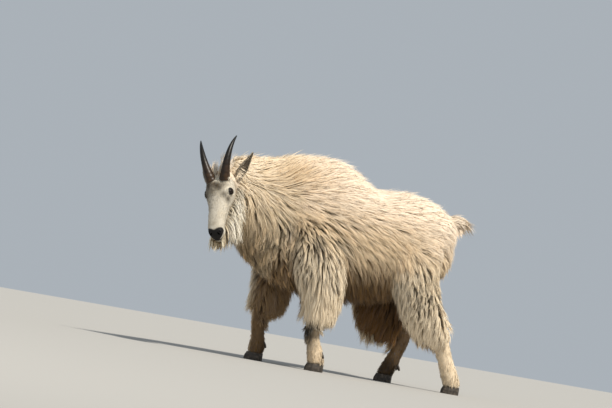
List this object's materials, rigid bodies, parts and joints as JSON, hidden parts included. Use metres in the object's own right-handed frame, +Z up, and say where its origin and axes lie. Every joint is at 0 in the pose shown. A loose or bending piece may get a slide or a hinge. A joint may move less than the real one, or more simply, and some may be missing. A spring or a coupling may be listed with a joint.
{
  "type": "mountain goat",
  "caption": "Standing mountain goat in mid step, head turned to its left, with a long shaggy coat, beard, short back-curved horns and cloven hooves.",
  "frame": {"origin": "on the floor, under the middle of the whole goat's box", "axes": "+X towards the tail, so the goat faces -X; -Y is the goat's left side, towards the camera of the picture; +Z up"},
  "size_m": [1.4116, 0.5122, 0.9855],
  "materials": {
    "coat": "long cream hair",
    "horn": "ringed brown-black horn",
    "hoof": "dull dark horn",
    "eye": "wet dark brown"
  },
  "bodies": {
    "root": {"barrel": "coat", "dewclaw_front_left_inner": "hoof", "dewclaw_front_left_outer": "hoof", "dewclaw_front_right_inner": "hoof", "dewclaw_front_right_outer": "hoof", "dewclaw_hind_left_inner": "hoof", "dewclaw_hind_left_outer": "hoof", "dewclaw_hind_right_inner": "hoof", "dewclaw_hind_right_outer": "hoof", "ear_left": "coat", "ear_right": "coat", "eye_left": "eye", "eye_right": "eye", "foreleg_left": "coat", "foreleg_right": "coat", "head": "coat", "hindleg_left": "coat", "hindleg_right": "coat", "hoof_front_left_inner": "hoof", "hoof_front_left_outer": "hoof", "hoof_front_right_inner": "hoof", "hoof_front_right_outer": "hoof", "hoof_hind_left_inner": "hoof", "hoof_hind_left_outer": "hoof", "hoof_hind_right_inner": "hoof", "hoof_hind_right_outer": "hoof", "horn_left": "horn", "horn_right": "horn", "neck": "coat", "rump": "coat", "shank_front_left": "coat", "shank_front_right": "coat", "shank_hind_left": "coat", "shank_hind_right": "coat", "shoulders": "coat", "tail": "coat"}
  },
  "joints": []
}
